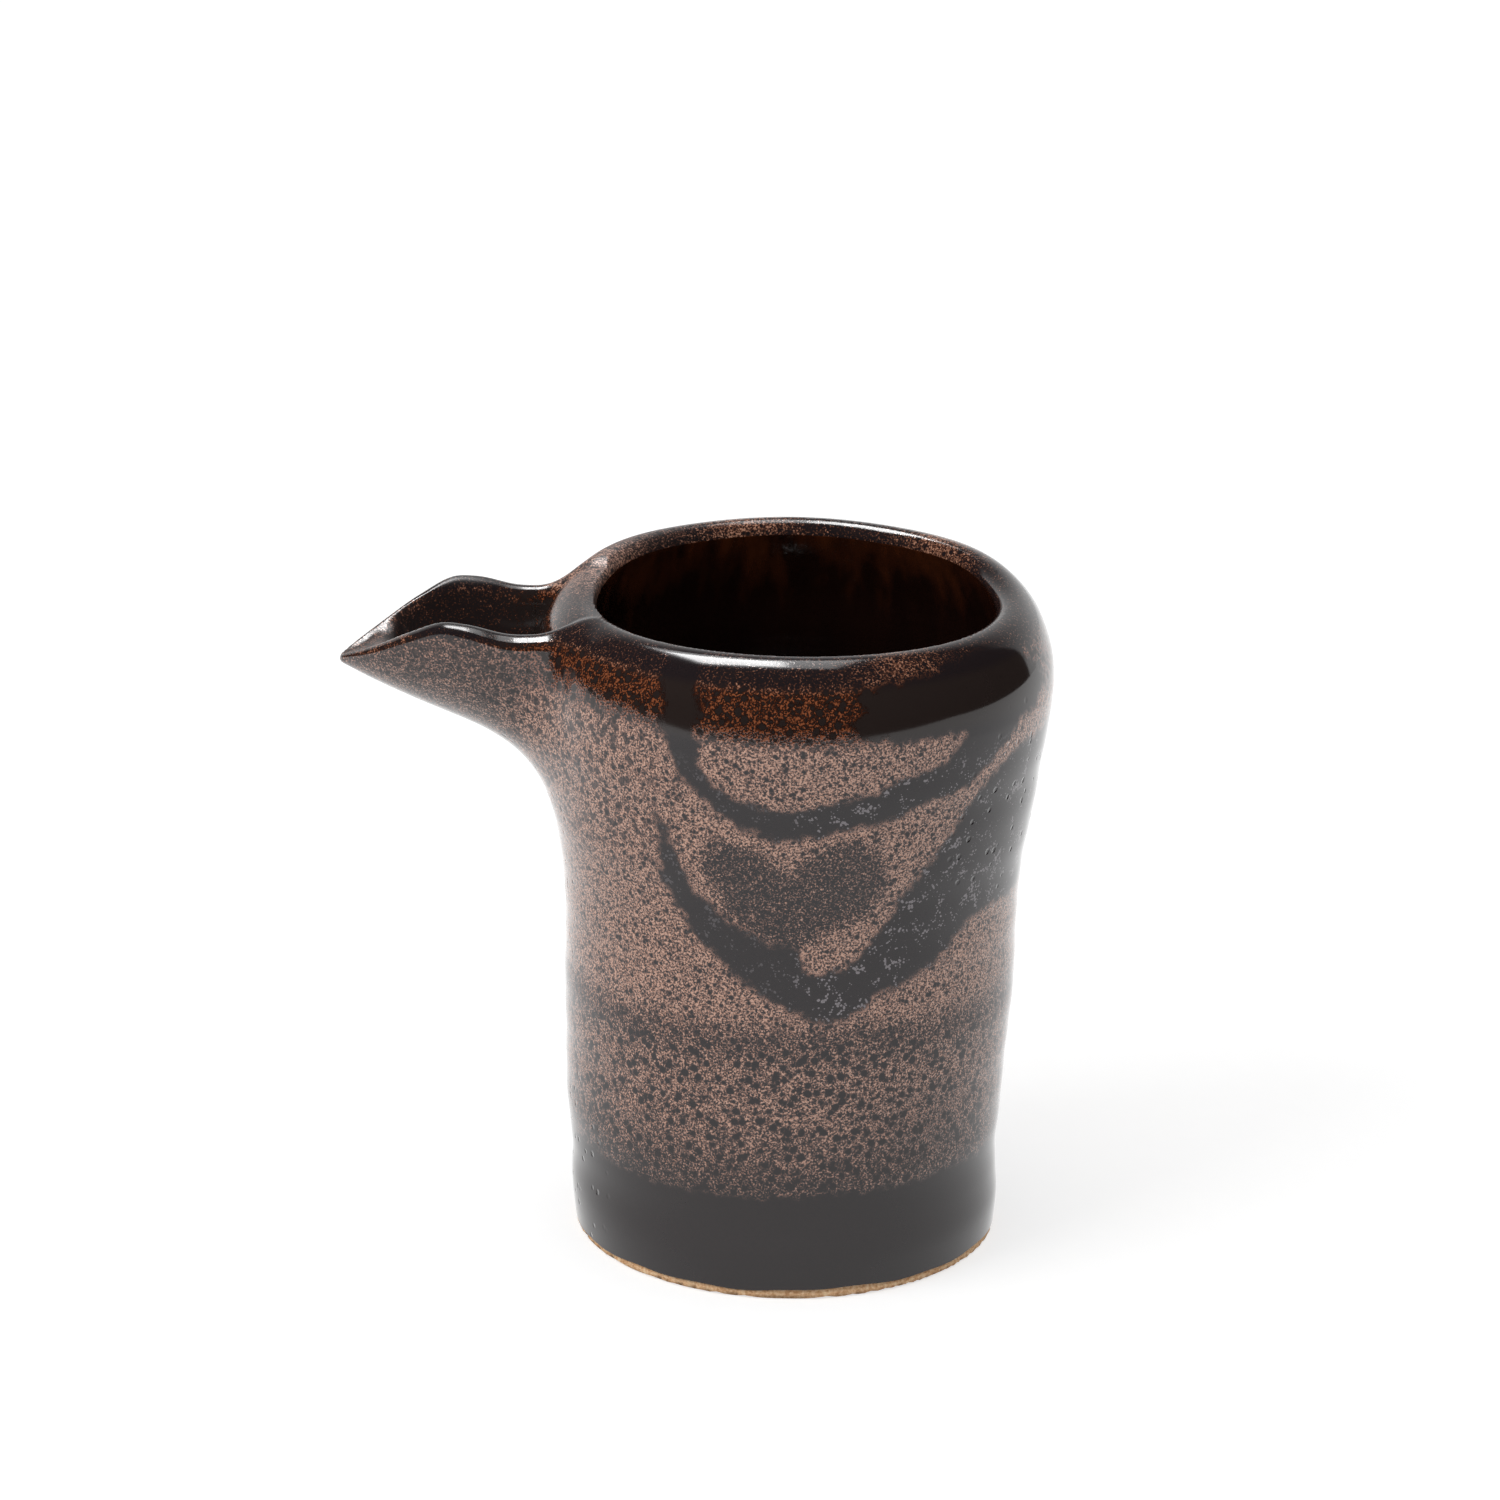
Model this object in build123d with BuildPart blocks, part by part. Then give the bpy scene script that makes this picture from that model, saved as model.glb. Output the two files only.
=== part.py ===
from build123d import *
from math import radians, tan
import os

# Lipped sake server: a thrown stoneware cup with a rolled-in lip, a hand-built pouring
# trough luted to its shoulder, and fired coats of glaze.
# Millimetres. Origin on the axis at the foot, +Z up, the trough points along -X.

# ---- Thrown clay wall: outside radii, and rises from each height to the next ----
foot_radius = 33.8
foot_rounding = 0.8
waist_radius = 33.5
waist_rise = 18.0
wall_radius = 35.2
wall_rise = 20.0
neck_rise = 20.0
shoulder_rise = 34.0
shoulder_straight = 3.5
bend_share = 0.45
rim_radius = 32.5
shoulder_swell = 7.7
rim_rise = 13.5

# ---- Inside of the thrown wall ----
wall_thickness = 4.6
floor_thickness = 6.0
floor_rounding = 8.0
lip_turn = 2.6
lip_turn_depth = 5.0

# ---- Pour hole through the wall at the root of the trough ----
pour_hole_width = 15.0
pour_hole_height = 11.0
pour_hole_lift = 1.8

# ---- Trough: its length, half widths, and drops below the rim of its edge ----
peak_stand_out = 12.8
tip_stand_out = 18.0
root_half_width = 14.0
peak_half_width = 12.4
tip_half_width = 0.8
taper_power = 1.55
root_inset = 10.0
root_edge_drop = 3.7
peak_edge_drop = 2.2
tip_edge_drop = 11.7
peak_outer_depth = 18.4
tip_outer_depth = 1.6
trough_wall = 3.0
trough_tip_wall = 0.6
trough_root_depth = 18.0
trough_depth = 15.4
trough_depth_power = 1.2
hollow_share = 0.9

# ---- Luting coil: clay smeared into the corner, below and beside the trough's root ----
luting_drop = 12.0
luting_spread = 6.0
luting_reach = 8.0
luting_tuck = 1.2
luting_top_gap = 0.8

# ---- Glaze coats ----
glaze_thickness = 0.5
rust_thickness = 0.2
sweep_thickness = 0.2
bare_foot_height = 1.1
rust_line_height = 17.0
rust_top_drop = 3.5

# ---- Dark glaze sweeps round the front: drops below the rim, clearances from the side ----
upper_sweep_left_inset = 23.2
upper_sweep_right_inset = 10.2
upper_sweep_end_drop = 13.5
upper_sweep_low_drop = 30.5
upper_sweep_width = 4.5
lower_sweep_left_inset = 20.2
lower_sweep_left_drop = 32.5
lower_sweep_low_place = 3.0
lower_sweep_low_drop = 58.5
lower_sweep_right_inset = 6.2
lower_sweep_right_drop = 19.5
lower_sweep_width = 8.0
lower_sweep_end_width = 13.0

# ---- Patch of glaze round the trough's root, which the trough's own glaze covers ----
patch_corner = 6.0
patch_clear = 1.0

wall_height = waist_rise + wall_rise
neck_height = wall_height + neck_rise
shoulder_height = neck_height + shoulder_rise
rim_height = shoulder_height + rim_rise
shoulder_radius = rim_radius + shoulder_swell
peak_reach = shoulder_radius + peak_stand_out
tip_reach = peak_reach + tip_stand_out
peak_keel_height = rim_height - peak_edge_drop - peak_outer_depth
tip_keel_height = rim_height - tip_edge_drop - tip_outer_depth
rust_coat = glaze_thickness + rust_thickness
sweep_coat = rust_coat + sweep_thickness
above_rim = rim_height + sweep_coat + lip_turn_depth
root_reach = shoulder_radius - root_inset
root_place = (root_reach - peak_reach) / tip_stand_out


def wall_line(shift, end_radius, end_height):
    """Side of the wall from the shoulder down, moved outwards by a shift."""
    corners = [
        (shoulder_radius, shoulder_height),
        (shoulder_radius, shoulder_height - shoulder_straight),
        (wall_radius, neck_height),
        (wall_radius, wall_height),
        (waist_radius, waist_rise),
        (end_radius, end_height),
    ]
    points = [Vector(radius + shift, height) for radius, height in corners]
    radii = []
    for before, corner, after in zip(points, points[1:], points[2:]):
        run_in = corner - before
        run_out = after - corner
        half_turn = radians(run_in.get_angle(run_out)) / 2
        radii.append(bend_share * min(run_in.length, run_out.length) / tan(half_turn))
    with BuildLine() as line:
        FilletPolyline(*points, radius=radii)
    return line.line


def thrown_section(coat):
    """Half section of the thrown form, its outside moved out by a coat."""
    with BuildSketch(Plane.XZ) as section:
        with BuildLine():
            add(wall_line(coat, foot_radius, 0))
            shoulder = EllipticalCenterArc(
                (rim_radius, shoulder_height),
                shoulder_radius - rim_radius + coat,
                rim_height - shoulder_height + coat,
                start_angle=0,
                arc_size=90,
            )
            Polyline(shoulder @ 1, (0, rim_height + coat), (0, 0), (foot_radius + coat, 0))
        make_face()
    return section.sketch


def hollow_section(coat):
    """Half section of the hollow and the air over it, made smaller by a coat."""
    inset = wall_thickness + coat
    mouth_radius = rim_radius - lip_turn - coat
    turn_height = rim_height - lip_turn_depth
    floor_height = floor_thickness + coat
    bend_radius = floor_rounding - coat
    inner_shoulder = Vector(shoulder_radius - inset, shoulder_height)
    inner_waist = Vector(waist_radius - inset, floor_height + bend_radius)
    under_lip = Vector(mouth_radius, turn_height)
    with BuildSketch(Plane.XZ) as section:
        with BuildLine():
            lip = EllipticalCenterArc(
                (rim_radius, turn_height),
                lip_turn + coat,
                lip_turn_depth + coat,
                start_angle=90,
                arc_size=90,
            )
            turn = TangentArc(under_lip, (under_lip + inner_shoulder) / 2, tangent=(0, -1))
            TangentArc(turn @ 1, inner_shoulder, tangent=turn % 1)
            add(wall_line(-inset, waist_radius, floor_height + bend_radius))
            bend = JernArc(inner_waist, (0, -1), bend_radius, -90)
            Polyline(bend @ 1, (0, floor_height), (0, above_rim), (rim_radius, above_rim), lip @ 0)
        make_face()
    return section.sketch


def trough_place(place):
    """Reach, half width, edge and keel height: straight to the peak at 0, then to the tip at 1."""
    reach = peak_reach + place * tip_stand_out
    keel = peak_keel_height + place * (tip_keel_height - peak_keel_height)
    if place < 0:
        behind = place / root_place
        half_width = peak_half_width + behind * (root_half_width - peak_half_width)
        edge_drop = peak_edge_drop + behind * (root_edge_drop - peak_edge_drop)
    else:
        half_width = peak_half_width + place**taper_power * (tip_half_width - peak_half_width)
        edge_drop = peak_edge_drop + place * (tip_edge_drop - peak_edge_drop)
    return reach, half_width, rim_height - edge_drop, keel


def trough_outside(coat):
    """Trough before it is hollowed, from inside the cup's wall to the peak and on to the tip."""
    with BuildPart() as outside:
        for places in ((root_place, 0), (0, 0.25, 0.5, 0.75, 1)):
            for place in places:
                reach, half_width, edge, keel = trough_place(place)
                if place == 1:
                    reach += coat
                half_width += coat
                edge += coat
                depth = edge - keel + coat
                with BuildSketch(Plane.YZ.offset(-reach)):
                    with BuildLine():
                        EllipticalCenterArc((0, edge), half_width, depth, start_angle=180, arc_size=180)
                        Line((-half_width, edge), (half_width, edge))
                    make_face()
            loft()
    return outside.part


def trough_hollow(coat):
    """Channel of the trough and the air over it, made smaller by a coat."""
    with BuildPart() as hollow:
        for shares in ((root_place, 0), (0, 0.25, 0.5, 0.75, 1)):
            for share in shares:
                reach, half_width, edge, keel = trough_place(share * hollow_share)
                out = max(share, 0) * hollow_share
                half_width -= trough_wall + out * (trough_tip_wall - trough_wall) + coat
                depth = trough_depth * (1 - out) ** trough_depth_power
                if share < 0:
                    depth = trough_root_depth
                with BuildSketch(Plane.YZ.offset(-reach)):
                    with BuildLine():
                        EllipticalCenterArc(
                            (0, edge), half_width, depth - coat, start_angle=180, arc_size=180
                        )
                        Polyline(
                            (half_width, edge),
                            (half_width, above_rim),
                            (-half_width, above_rim),
                            (-half_width, edge),
                        )
                    make_face()
            loft()
    return hollow.part


def thrown_form(coat):
    with BuildPart() as form:
        revolve(thrown_section(coat), axis=Axis.Z)
    return form.part


def hollow_form(coat):
    with BuildPart() as form:
        revolve(hollow_section(coat), axis=Axis.Z)
    return form.part


def pour_hole(coat):
    """Passage from the axis out through the wall, its sill level with the trough's floor."""
    sill = rim_height - root_edge_drop - trough_root_depth + pour_hole_lift
    with BuildPart() as hole:
        with BuildSketch(Plane.YZ):
            with Locations((0, sill + pour_hole_height / 2)):
                Ellipse(pour_hole_width / 2 - coat, pour_hole_height / 2 - coat)
        extrude(amount=-shoulder_radius - glaze_thickness)
    return hole.part


def luting_form(coat):
    """Clay round the trough's root, shrinking outwards until it tucks into the trough."""
    top = rim_height - root_edge_drop - luting_top_gap
    with BuildPart() as form:
        for share in (0, 1 / 3, 2 / 3, 1):
            reach = root_reach + share * (root_inset + luting_reach)
            keel = trough_place((reach - peak_reach) / tip_stand_out)[3]
            swell = (1 - share) ** 2
            tuck = luting_tuck * share - coat
            half_width = root_half_width + luting_spread * swell - tuck
            depth = top - keel + luting_drop * swell - tuck
            with BuildSketch(Plane.YZ.offset(-reach)):
                with BuildLine():
                    EllipticalCenterArc((0, top), half_width, depth, start_angle=180, arc_size=180)
                    Line((-half_width, top), (half_width, top))
                make_face()
        loft()
    return form.part


def root_patch():
    """Prism through the wall round the trough's root, where the cup's coats stop."""
    keel_at_wall = trough_place(root_place / 2)[3]
    low = keel_at_wall - luting_drop
    high = rim_height - root_edge_drop + glaze_thickness + patch_clear
    half_width = root_half_width + luting_spread + patch_clear
    with BuildPart() as patch:
        with BuildSketch(Plane.YZ.offset(-rim_radius / 2)):
            with Locations((0, (low + high) / 2)):
                RectangleRounded(2 * half_width, high - low, patch_corner)
        extrude(amount=-peak_reach)
    return patch.part


clay_cup = thrown_form(0)
clay_trough = trough_outside(0)
glazed_cup = thrown_form(glaze_thickness)
rusted_cup = thrown_form(rust_coat)
clay_hollow = hollow_form(0)
glazed_hollow = hollow_form(glaze_thickness)
open_hole = pour_hole(glaze_thickness)
patch = root_patch()

# ---- Thrown cup ----
with BuildPart() as stoneware_body:
    add(clay_cup)
    fillet(stoneware_body.edges().group_by(Axis.Z)[0], radius=foot_rounding)
    add(clay_hollow, mode=Mode.SUBTRACT)
    add(pour_hole(0), mode=Mode.SUBTRACT)

# ---- Hand-built trough, cut to the cup's shoulder ----
with BuildPart() as stoneware_spout:
    add(clay_trough)
    add(trough_hollow(0), mode=Mode.SUBTRACT)
    add(clay_cup, mode=Mode.SUBTRACT)

# ---- Clay smeared into the corner between trough and cup ----
with BuildPart() as spout_luting_coil:
    add(luting_form(0))
    add(clay_cup, mode=Mode.SUBTRACT)
    add(clay_trough, mode=Mode.SUBTRACT)

# ---- Dark base glaze on the outside, from the bare foot to the crest of the lip ----
with BuildPart() as outer_base_glaze:
    add(glazed_cup)
    add(clay_cup, mode=Mode.SUBTRACT)
    add(clay_hollow, mode=Mode.SUBTRACT)
    add(patch, mode=Mode.SUBTRACT)
    split(bisect_by=Plane.XY.offset(bare_foot_height), keep=Keep.TOP)

# ---- Same glaze poured inside: wall, floor, lip and the pour hole's bore ----
with BuildPart() as liner_glaze:
    add(pour_hole(0))
    add(clay_cup, mode=Mode.INTERSECT)
    add(clay_hollow)
    add(glazed_hollow, mode=Mode.SUBTRACT)
    add(open_hole, mode=Mode.SUBTRACT)

# ---- Glaze on the trough, inside and out, over the luting coil and round the root ----
with BuildPart() as glazed_channel:
    add(trough_hollow(glaze_thickness))
    add(glazed_cup, mode=Mode.SUBTRACT)

with BuildPart() as spout_glaze:
    add(glazed_cup)
    add(patch, mode=Mode.INTERSECT)
    add(trough_outside(glaze_thickness))
    add(luting_form(glaze_thickness))
    add(clay_cup, mode=Mode.SUBTRACT)
    add(stoneware_spout.part, mode=Mode.SUBTRACT)
    add(spout_luting_coil.part, mode=Mode.SUBTRACT)
    add(glazed_channel.part, mode=Mode.SUBTRACT)
    add(open_hole, mode=Mode.SUBTRACT)

# ---- Rust coat over the base glaze, down to the line it was dipped to ----
with BuildPart() as rust_overglaze:
    add(rusted_cup)
    add(glazed_cup, mode=Mode.SUBTRACT)
    add(patch, mode=Mode.SUBTRACT)
    split(bisect_by=Plane.XY.offset(rust_line_height), keep=Keep.TOP)
    split(bisect_by=Plane.XY.offset(rim_height - rust_top_drop), keep=Keep.BOTTOM)

# ---- Upper sweep of dark glaze: a hanging arc ----
with BuildPart() as upper_glaze_sweep:
    with BuildSketch(Plane.XZ):
        with BuildLine():
            left = upper_sweep_left_inset - shoulder_radius
            right = shoulder_radius - upper_sweep_right_inset
            end = rim_height - upper_sweep_end_drop
            low = rim_height - upper_sweep_low_drop
            middle = (left + right) / 2
            width = upper_sweep_width
            lower_line = ThreePointArc((left, end), (middle, low), (right, end))
            upper_line = ThreePointArc((left + width, end), (middle, low + width), (right - width, end))
            Line(lower_line @ 0, upper_line @ 0)
            Line(lower_line @ 1, upper_line @ 1)
        make_face()
    extrude(amount=above_rim)
    add(thrown_form(sweep_coat), mode=Mode.INTERSECT)
    add(rusted_cup, mode=Mode.SUBTRACT)

# ---- Lower sweep: thin at its left tip, wide where it runs round to the right ----
with BuildPart() as lower_glaze_sweep:
    with BuildSketch(Plane.XZ):
        with BuildLine():
            tip = Vector(lower_sweep_left_inset - shoulder_radius, rim_height - lower_sweep_left_drop)
            low = Vector(lower_sweep_low_place, rim_height - lower_sweep_low_drop)
            end = Vector(shoulder_radius - lower_sweep_right_inset, rim_height - lower_sweep_right_drop)
            lower_line = Spline(tip, low, end - Vector(0, lower_sweep_end_width))
            upper_line = Spline(tip, low + Vector(0, lower_sweep_width), end)
            Line(lower_line @ 1, upper_line @ 1)
        make_face()
    extrude(amount=above_rim)
    add(thrown_form(sweep_coat), mode=Mode.INTERSECT)
    add(rusted_cup, mode=Mode.SUBTRACT)

os.makedirs("parts", exist_ok=True)

stoneware_body.part.label = "stoneware_body"
export_step(stoneware_body.part, "parts/stoneware_body.step")
stoneware_spout.part.label = "stoneware_spout"
export_step(stoneware_spout.part, "parts/stoneware_spout.step")
spout_luting_coil.part.label = "spout_luting_coil"
export_step(spout_luting_coil.part, "parts/spout_luting_coil.step")
outer_base_glaze.part.label = "outer_base_glaze"
export_step(outer_base_glaze.part, "parts/outer_base_glaze.step")
liner_glaze.part.label = "liner_glaze"
export_step(liner_glaze.part, "parts/liner_glaze.step")
spout_glaze.part.label = "spout_glaze"
export_step(spout_glaze.part, "parts/spout_glaze.step")
rust_overglaze.part.label = "rust_overglaze"
export_step(rust_overglaze.part, "parts/rust_overglaze.step")
upper_glaze_sweep.part.label = "upper_glaze_sweep"
export_step(upper_glaze_sweep.part, "parts/upper_glaze_sweep.step")
lower_glaze_sweep.part.label = "lower_glaze_sweep"
export_step(lower_glaze_sweep.part, "parts/lower_glaze_sweep.step")
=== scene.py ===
import math

import bpy
import numpy as np
from mathutils import Matrix, Vector


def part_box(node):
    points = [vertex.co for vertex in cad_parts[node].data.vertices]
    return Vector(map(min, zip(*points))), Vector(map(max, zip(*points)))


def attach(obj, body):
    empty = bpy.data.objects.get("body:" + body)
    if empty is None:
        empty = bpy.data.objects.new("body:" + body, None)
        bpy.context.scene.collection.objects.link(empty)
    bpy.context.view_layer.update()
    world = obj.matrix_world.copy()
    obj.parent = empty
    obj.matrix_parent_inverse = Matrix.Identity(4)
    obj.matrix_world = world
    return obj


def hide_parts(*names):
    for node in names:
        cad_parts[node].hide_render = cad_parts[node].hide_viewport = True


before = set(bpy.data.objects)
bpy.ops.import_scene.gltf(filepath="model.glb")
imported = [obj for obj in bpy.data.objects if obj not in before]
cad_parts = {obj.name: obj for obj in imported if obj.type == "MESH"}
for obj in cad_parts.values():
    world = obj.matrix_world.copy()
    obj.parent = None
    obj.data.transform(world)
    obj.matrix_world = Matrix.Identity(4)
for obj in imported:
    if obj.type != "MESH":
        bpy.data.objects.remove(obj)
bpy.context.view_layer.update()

# A lipped sake server in fired stoneware: a hand-thrown cup with a rolled-in lip, a trough
# luted to its shoulder, and a black iron glaze under a speckled rust one.
# The form is worked out in millimetres, with the trough pointing along -X, and each coat of
# glaze is a closed skin over the clay. Everything is turned to metres as its mesh is made.
MM = 0.001


def corners(node):
    """Lowest and highest corner of a node of the frame, in millimetres."""
    low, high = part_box(node)
    return np.array(low) / MM, np.array(high) / MM


# ---- Sizes taken from the frame ----
bare_foot = corners("outer_base_glaze")[0][2]
crest = corners("outer_base_glaze")[1][2] - 0.2
shoulder = corners("rust_overglaze")[1][0]
rust_line = corners("rust_overglaze")[0][2]
tip_reach = -corners("spout_glaze")[0][0]

# ---- Sizes of the thrown cup ----
coat = 0.45
foot_rounding = 0.5
wall = 5.6
floor_height = 6.5
floor_rounding = 8
inner_low = 15.0
inner_high = 90.0
shoulder_height = 92.4
crest_radius = shoulder - 7.4
mouth_radius = crest_radius - 2.2
lip_depth = 2.3
turn_height = crest - lip_depth
# Outside of the cup: how far in from the shoulder, and how high
side_points = [
    (6.9, foot_rounding), (6.4, 6), (6.6, 14), (6.0, 21), (5.6, 31.5), (5.1, 42),
    (5.1, 52.5), (4.4, 63), (2.5, 73.5), (1.6, 80), (0.6, 86), (0, shoulder_height),
]

# ---- Sizes of the trough: (reach back from its tip, value) ----
crest_half_width = [
    (0, 0.3), (3.6, 4.0), (8.2, 7.8), (13.5, 11.0), (17.5, 12.7), (22, 13.5), (28, 13.6), (36, 13.2),
]
edge_drop = [(0, 11.7), (6.5, 7.8), (12, 4.5), (17.5, 2.1), (20.5, 2.2), (27.5, 3.6), (36, 3.2)]
bevel_run = [(0, 0.6), (4, 1.3), (9, 1.7), (17.5, 2.0), (22, 2.4), (36, 2.8)]
inner_round = [(0, 0.4), (8, 1.4), (14, 2.6), (36, 3.2)]
rim_top = [(0, 0.2), (8, 0.7), (14, 1.5), (20, 1.9), (36, 1.8)]
channel_depth = [(0, 0.3), (4, 1.5), (7.5, 2.7), (9, 4.6), (10.5, 9), (14, 13.5), (36, 17)]
keel_drop = [(0, 12.9), (5, 15.2), (18, 20.8), (27, 24.6), (36, 28.6)]
bevel_slope = math.tan(math.radians(31))
trough_coat = 0.3
cut_plane = 41.2
trough_start = -36

# ---- Pour hole from the cup into the trough ----
hole_place = -35
hole_reach = 8
hole_height = 91.1
hole_half_width = 7.0
hole_half_height = 5.0

# ---- Cells of the meshes, in millimetres ----
cup_cell = 0.82
lip_cell = 0.45
trough_cell = 0.5
clay_cell = 1.1
fine_lip_height = 99.4
# Cells nearer the axis or further from it than these hold no surface
hollow_clear = 26
floor_clear = 14
cup_clear = 45


def line_through(points):
    """Smooth line through points, as a function of their first number."""
    place, value = np.array(points, float).T
    slope = np.gradient(value, place)

    def at(where):
        where = np.clip(where, place[0], place[-1])
        run = np.clip(np.searchsorted(place, where, side="right") - 1, 0, len(place) - 2)
        width = place[run + 1] - place[run]
        t = (where - place[run]) / width
        start = value[run] * (1 + 2 * t) * (1 - t) ** 2 + value[run + 1] * t**2 * (3 - 2 * t)
        return start + width * (slope[run] * t * (1 - t) ** 2 - slope[run + 1] * t**2 * (1 - t))

    return at


def smooth_step(value, low, high):
    """0 below low, 1 above high and a soft rise between."""
    t = np.clip((value - low) / (high - low), 0, 1)
    return t * t * (3 - 2 * t)


def bump_at(value, centre, width):
    """1 at the centre, falling off softly on both sides."""
    return np.exp(-(((value - centre) / width) ** 2))


def blend_in(a, b, softness):
    """Joins two forms with a smooth fillet."""
    near = np.maximum(softness - np.abs(a - b), 0) / softness
    return np.minimum(a, b) - near * near * softness / 4


def cut_away(form, tool, softness):
    """Cuts a tool out of a form and rounds the edge."""
    return -blend_in(-form, tool, softness)


def quarter(centre, across, up, start, turn, count=24):
    """Points of a quarter ellipse, angles in degrees."""
    angles = np.radians(start + turn * np.linspace(0, 1, count))
    return [(centre[0] + across * math.cos(a), centre[1] + up * math.sin(a)) for a in angles]


def reach_inside(places, outline):
    """How far inside a closed outline each place in a plane lies, below 0 outside it."""
    nearest = np.full(len(places), 1e9)
    inside = np.zeros(len(places), bool)
    for start, end in zip(outline, np.roll(outline, -1, 0)):
        run = end - start
        if not run.any():
            continue
        t = np.clip((places - start) @ run / (run @ run), 0, 1)
        nearest = np.minimum(nearest, ((places - start - t[:, None] * run) ** 2).sum(1))
        if run[1]:
            side = start[0] + (places[:, 1] - start[1]) * run[0] / run[1]
            between = (start[1] > places[:, 1]) != (end[1] > places[:, 1])
            inside ^= between & (places[:, 0] < side)
    return np.sqrt(nearest) * np.where(inside, 1, -1)


def section_distance(outline, step=0.5):
    """Distance to a turned outline, below 0 inside it, as a function of radius and height."""
    radii = np.arange(-4, 60, step)
    heights = np.arange(-8, 130, step)
    grid = np.stack(np.meshgrid(radii, heights, indexing="ij"), -1).reshape(-1, 2)
    table = -reach_inside(grid, np.array(outline, float)).reshape(len(radii), len(heights))

    def weights(t):
        """Shares of the four nearest rows, for a smooth curve through them."""
        return (
            t * (-1 + t * (2 - t)) / 2,
            1 + t * t * (3 * t - 5) / 2,
            t * (1 + t * (4 - 3 * t)) / 2,
            t * t * (t - 1) / 2,
        )

    def at(radius, height):
        u = np.clip((radius - radii[0]) / step, 1, len(radii) - 3)
        v = np.clip((height - heights[0]) / step, 1, len(heights) - 3)
        i = u.astype(int)
        j = v.astype(int)
        across = weights(u - i)
        up = weights(v - j)
        total = 0
        for a in range(4):
            for b in range(4):
                total = total + across[a] * up[b] * table[i + a - 1, j + b - 1]
        return total

    return at


side_at = line_through([(height, shoulder - inset) for inset, height in side_points])
foot_centre = (side_at(0) - foot_rounding, foot_rounding)
crown_across = shoulder - crest_radius
crown_up = crest - shoulder_height
past_axis = -20
outside_line = (
    [(past_axis, 0)]
    + quarter(foot_centre, foot_rounding, foot_rounding, -90, 90)
    + [(side_at(h), h) for h in np.arange(foot_rounding, shoulder_height, 0.7)]
    + quarter((crest_radius, shoulder_height), crown_across, crown_up, 0, 90, 60)
    + [(past_axis, crest)]
)
inner_top = side_at(inner_high) - wall
lip_turn = line_through([
    (inner_high, inner_top), (inner_high + 2, inner_top - 0.1), (98, mouth_radius + 2.0),
    (turn_height, mouth_radius),
])
corner_centre = (side_at(inner_low) - wall - floor_rounding, inner_low)
hollow_line = (
    [(past_axis, floor_height)]
    + quarter(corner_centre, floor_rounding, inner_low - floor_height, -90, 90)
    + [(side_at(h) - wall, h) for h in np.arange(inner_low, inner_high, 0.7)]
    + [(lip_turn(h), h) for h in np.arange(inner_high, turn_height, 0.5)]
    + quarter((crest_radius, turn_height), crest_radius - mouth_radius, lip_depth, 180, -90)
    + [(crest_radius, crest + 20), (past_axis, crest + 20)]
)
cup_outside = section_distance(outside_line)
cup_hollow = section_distance(hollow_line)

half_width_at = line_through(crest_half_width)
edge_at = line_through([(place, crest - drop) for place, drop in edge_drop])
bevel_at = line_through(bevel_run)
inner_round_at = line_through(inner_round)
rim_top_at = line_through(rim_top)
depth_at = line_through(channel_depth)
keel_at = line_through([(place, crest - drop) for place, drop in keel_drop])


def thrown_place(x, y, z):
    """Radius and height on the true turned form of a point on the hand-thrown one."""
    bearing = np.arctan2(y, x)
    # The lip is lifted behind and pressed down in front
    rise = smooth_step(z, 68, crest)
    behind = np.sin(bearing)
    fuller = 0.9 * bump_at(behind, 0.55, 0.35) - 0.4 * bump_at(behind, 1, 0.25)
    height = z - rise * (1.6 * behind - 0.8 * np.cos(2 * bearing) + fuller)
    # The wall leans a little low down, and shows the hand and the throwing rings
    lean = 0.45 * np.cos(bearing) * bump_at(z, 22, 15)
    hand = 0.10 * np.sin(3 * bearing + z / 11) + 0.12 * np.sin(2 * bearing - z / 17 + 1)
    rings = 0.03 * np.sin(z * 0.9 + bearing) * smooth_step(z, 2, 12)
    return np.hypot(x, y) + lean + hand * smooth_step(z, 1, 10) + rings, height


def oval(y, z, half_width, depth):
    """About the distance to an ellipse round the origin."""
    out = np.hypot(y / half_width, z / depth) + 1e-6
    steep = np.hypot(y / half_width**2, z / depth**2) + 1e-6
    return out * (out - 1) / steep


def trough(x, y, z):
    """Distances to the uncut trough and to its channel."""
    back = tip_reach + x
    edge = edge_at(back)
    ridge = np.maximum(half_width_at(back), 0.2)
    bevel = bevel_at(back)
    keel = keel_at(back)
    solid = oval(y, z - edge, ridge + bevel, np.maximum(edge - keel, 0.8))
    lean = (z - edge + (np.abs(y) - ridge) * bevel_slope) / math.hypot(1, bevel_slope)
    top = cut_away(z - edge, -lean, 1.2)
    solid = cut_away(solid, -top, 0.9)
    solid = cut_away(solid, back, 0.8)
    inner = np.maximum(ridge - rim_top_at(back), 0.1)
    depth = np.maximum(depth_at(back), 0.05)
    below = oval(y, np.minimum(z - edge, 0), inner, depth)
    channel = np.where(z < edge, below, np.abs(y) - inner)
    return solid, channel


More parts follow.
